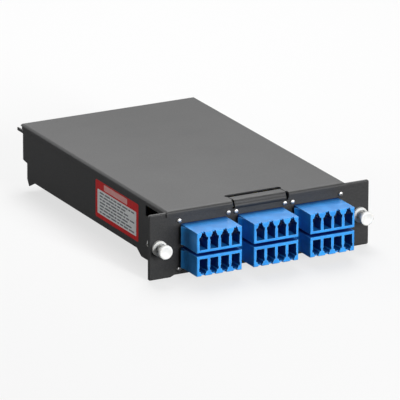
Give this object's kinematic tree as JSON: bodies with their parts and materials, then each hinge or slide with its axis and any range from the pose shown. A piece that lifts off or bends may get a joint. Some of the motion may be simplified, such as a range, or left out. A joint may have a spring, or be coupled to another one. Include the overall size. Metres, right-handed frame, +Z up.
{
  "type": "fibre cassette",
  "caption": "Slim black steel fibre cassette with blue quad LC adapters across its faceplate, MPO adapters at the rear and a push-pull plunger in each ear.",
  "frame": {"origin": "bottom centre of the box round the whole cassette, under the middle of its depth", "axes": "+X to the right seen from the front, +Y from the faceplate to the rear, +Z up through the cover"},
  "size_m": [0.13, 0.194, 0.0365],
  "materials": {
    "black_powder_coat": "fine satin black powder coat on folded steel",
    "blue_moulding": "moulded blue polymer, semi-gloss",
    "zinc_plate": "bright zinc plated steel",
    "white_nylon": "natural white moulded nylon",
    "black_moulding": "moulded black polymer",
    "yellow_jacket": "yellow fibre jacket",
    "screw_black": "black oxide steel screw"
  },
  "bodies": {
    "cassette": {"adapter_front_1_lower": "blue_moulding", "adapter_front_1_upper": "blue_moulding", "adapter_front_2_lower": "blue_moulding", "adapter_front_2_upper": "blue_moulding", "adapter_front_3_lower": "blue_moulding", "adapter_front_3_upper": "blue_moulding", "adapter_rear_1_lower": "blue_moulding", "adapter_rear_1_upper": "blue_moulding", "adapter_rear_2_lower": "blue_moulding", "adapter_rear_2_upper": "blue_moulding", "adapter_rear_3_lower": "blue_moulding", "adapter_rear_3_upper": "blue_moulding", "adapter_retainer_1": "zinc_plate", "adapter_retainer_2": "zinc_plate", "adapter_retainer_3": "zinc_plate", "base_tray": "black_powder_coat", "cover_screws": "screw_black", "faceplate": "black_powder_coat", "fanout_block_lower": "black_moulding", "fanout_block_upper": "black_moulding", "fanout_stand": "black_moulding", "fibre_bundle_lower": "yellow_jacket", "fibre_bundle_upper": "yellow_jacket", "fibre_legs_1_lower": "yellow_jacket", "fibre_legs_1_upper": "yellow_jacket", "fibre_legs_2_lower": "yellow_jacket", "fibre_legs_2_upper": "yellow_jacket", "fibre_legs_3_lower": "yellow_jacket", "fibre_legs_3_upper": "yellow_jacket", "lc_plugs_1_lower": "blue_moulding", "lc_plugs_1_upper": "blue_moulding", "lc_plugs_2_lower": "blue_moulding", "lc_plugs_2_upper": "blue_moulding", "lc_plugs_3_lower": "blue_moulding", "lc_plugs_3_upper": "blue_moulding", "mpo_adapter_left": "black_moulding", "mpo_adapter_right": "black_moulding", "mpo_plug_left": "black_moulding", "mpo_plug_right": "black_moulding", "plunger_grommet_left": "white_nylon", "plunger_grommet_right": "white_nylon", "top_cover": "black_powder_coat"},
    "plunger_left": {"plunger_pin_left": "white_nylon"},
    "plunger_right": {"plunger_pin_right": "white_nylon"}
  },
  "joints": [
    {"name": "plunger_left_push", "type": "slide", "parent": "cassette", "child": "plunger_left", "axis": [0, 1, 0], "range_m": [0, 0.0042]},
    {"name": "plunger_right_push", "type": "slide", "parent": "cassette", "child": "plunger_right", "axis": [0, 1, 0], "range_m": [0, 0.0042]}
  ]
}
